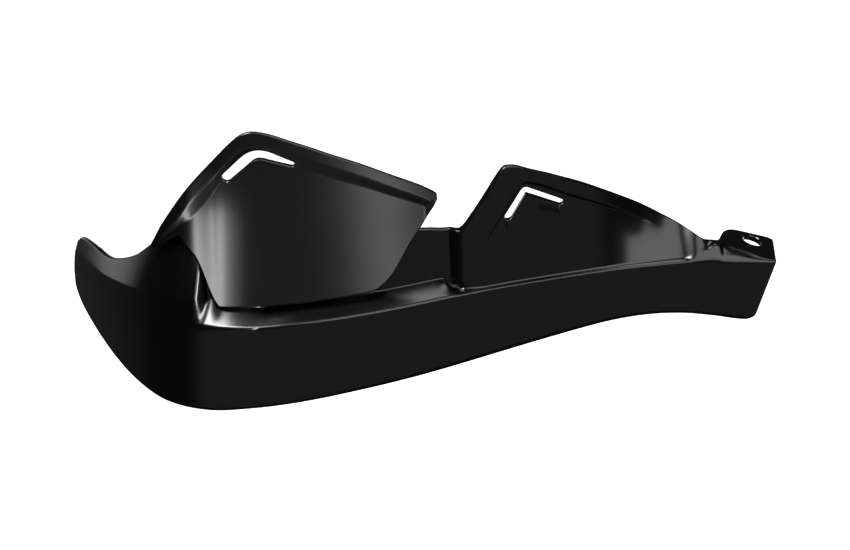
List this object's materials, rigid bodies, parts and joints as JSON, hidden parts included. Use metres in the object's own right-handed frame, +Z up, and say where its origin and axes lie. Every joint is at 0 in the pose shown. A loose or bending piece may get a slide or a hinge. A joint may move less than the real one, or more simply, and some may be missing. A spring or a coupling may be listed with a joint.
{
  "type": "motorcycle hand guard",
  "caption": "Moulded right-hand motorcycle hand guard shell with a raised wind deflector screwed to its front, threaded inserts behind and a fixing lug with a bore at its inner end.",
  "frame": {"origin": "centre of the bore in the inner fixing lug, at the lug's upper face", "axes": "+X from the outer end to the inner end, +Y from the front towards the rider, +Z up"},
  "size_m": [0.3543, 0.1079, 0.1367],
  "materials": {
    "shell_plastic": "gloss black",
    "deflector_plastic": "semi-gloss dark smoke",
    "zinc_steel": "zinc plated",
    "insert_brass": "satin"
  },
  "bodies": {
    "root": {"shell": "shell_plastic", "deflector": "deflector_plastic", "deflector_screw_1": "zinc_steel", "deflector_screw_2": "zinc_steel", "deflector_screw_3": "zinc_steel", "deflector_screw_4": "zinc_steel", "deflector_washer_1": "zinc_steel", "deflector_washer_2": "zinc_steel", "deflector_washer_3": "zinc_steel", "deflector_washer_4": "zinc_steel", "insert_outer": "insert_brass", "insert_middle": "insert_brass", "insert_inner": "insert_brass"}
  },
  "joints": []
}
